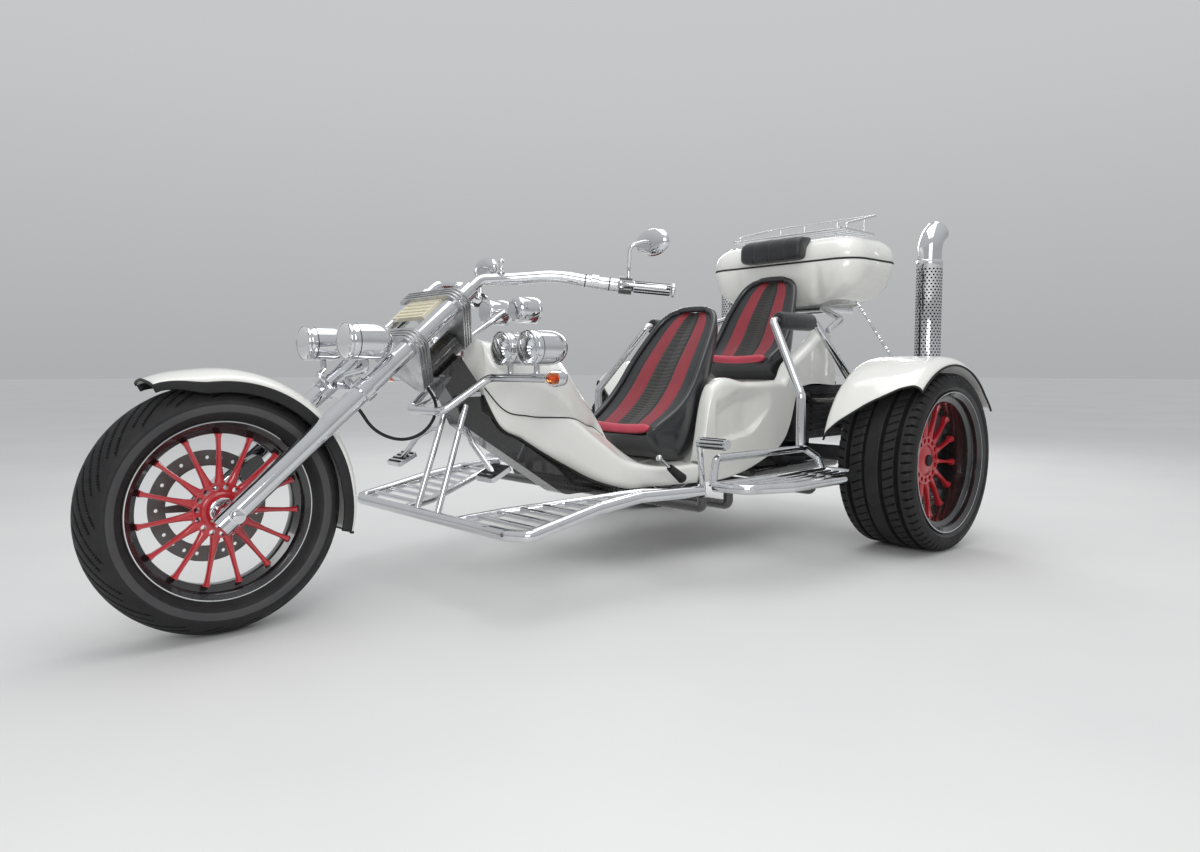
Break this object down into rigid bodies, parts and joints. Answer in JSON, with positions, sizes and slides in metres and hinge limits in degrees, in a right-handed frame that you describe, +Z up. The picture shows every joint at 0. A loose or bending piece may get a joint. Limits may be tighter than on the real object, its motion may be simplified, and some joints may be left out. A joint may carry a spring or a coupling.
{
  "type": "motorized trike",
  "caption": "Three-wheeled motor trike with a long raked fork, bucket seats in line, a rear trunk, wide rear wheels and upright exhausts.",
  "frame": {"origin": "on the ground, on the centre plane, midway between the front of the front tyre and the rear bumper", "axes": "+X forward, +Y to the rider's left, +Z up"},
  "size_m": [3.2498, 1.736, 1.3909],
  "materials": {
    "chrome": "mirror-bright plate",
    "white_shell": "clear-coated white",
    "cover_white": "satin cream",
    "polished_cast": "polished casting",
    "wheel_paint": "gloss black barrel with red spokes",
    "tyre": "matt tread, smooth side wall",
    "disc_steel": "turned and drilled",
    "caliper_paint": "satin black",
    "grip_rubber": "matt, ribbed",
    "cable_rubber": "matt sleeve",
    "frame_paint": "powder coat",
    "seat_shell": "gloss black shell",
    "seat_cover": "black grained cover with red stripes",
    "engine_iron": "dark casting",
    "axle_iron": "dark casting",
    "tail_lens": "red lens in a bright ring"
  },
  "bodies": {
    "root": {"side_lamps": "chrome", "front_hoop": "chrome", "foot_boards": "chrome", "foot_controls": "chrome", "armrests": "chrome", "exhaust_stacks": "chrome", "lamp_bar": "chrome", "turn_signals": "chrome", "rear_bumper": "chrome", "trunk_carrier": "chrome", "nose_cowl": "white_shell", "rear_tub": "white_shell", "rear_fenders": "white_shell", "trunk_tub": "white_shell", "armrest_pads": "grip_rubber", "frame": "frame_paint", "fender_stays": "frame_paint", "driver_seat_shell": "seat_shell", "passenger_seat_shell": "seat_shell", "driver_seat_pad": "seat_cover", "passenger_seat_pad": "seat_cover", "engine_block": "engine_iron", "rear_axle": "axle_iron", "tail_lamps": "tail_lens"},
    "steering": {"fork_legs": "chrome", "yokes": "polished_cast", "fork_cover": "cover_white", "handlebar": "chrome", "switch_blocks": "chrome", "grips": "grip_rubber", "mirrors": "chrome", "front_fender": "white_shell", "brake_caliper": "caliper_paint", "front_lamps": "chrome", "lamp_brace": "chrome", "gauges": "chrome", "fork_cable": "cable_rubber"},
    "front_wheel": {"front_tyre": "tyre", "front_rim": "wheel_paint", "front_brake_disc": "disc_steel"},
    "rear_wheel_left": {"rear_tyre_left": "tyre", "rear_rim_left": "wheel_paint"},
    "rear_wheel_right": {"rear_tyre_right": "tyre", "rear_rim_right": "wheel_paint"},
    "trunk_top": {"trunk_lid": "white_shell", "backrest_pad": "seat_cover", "luggage_rack": "chrome"}
  },
  "joints": [
    {"name": "steering", "type": "hinge", "parent": "root", "child": "steering", "pos_m": [1.21257, 0, 0.22915], "axis": [-0.7604, 0, 0.6494], "range_deg": [-30, 30]},
    {"name": "front_wheel_spin", "type": "hinge", "parent": "steering", "child": "front_wheel", "pos_m": [1.297, 0, 0.328], "axis": [0, 1, 0], "continuous": true},
    {"name": "rear_wheel_left_spin", "type": "hinge", "parent": "root", "child": "rear_wheel_left", "pos_m": [-1.078, 0.718, 0.34], "axis": [0, 1, 0], "continuous": true},
    {"name": "rear_wheel_right_spin", "type": "hinge", "parent": "root", "child": "rear_wheel_right", "pos_m": [-1.078, -0.718, 0.34], "axis": [0, 1, 0], "continuous": true},
    {"name": "trunk_lid_hinge", "type": "hinge", "parent": "root", "child": "trunk_top", "pos_m": [-1.132, 0, 1.1605], "axis": [0, 1, 0], "range_deg": [0, 55]}
  ]
}
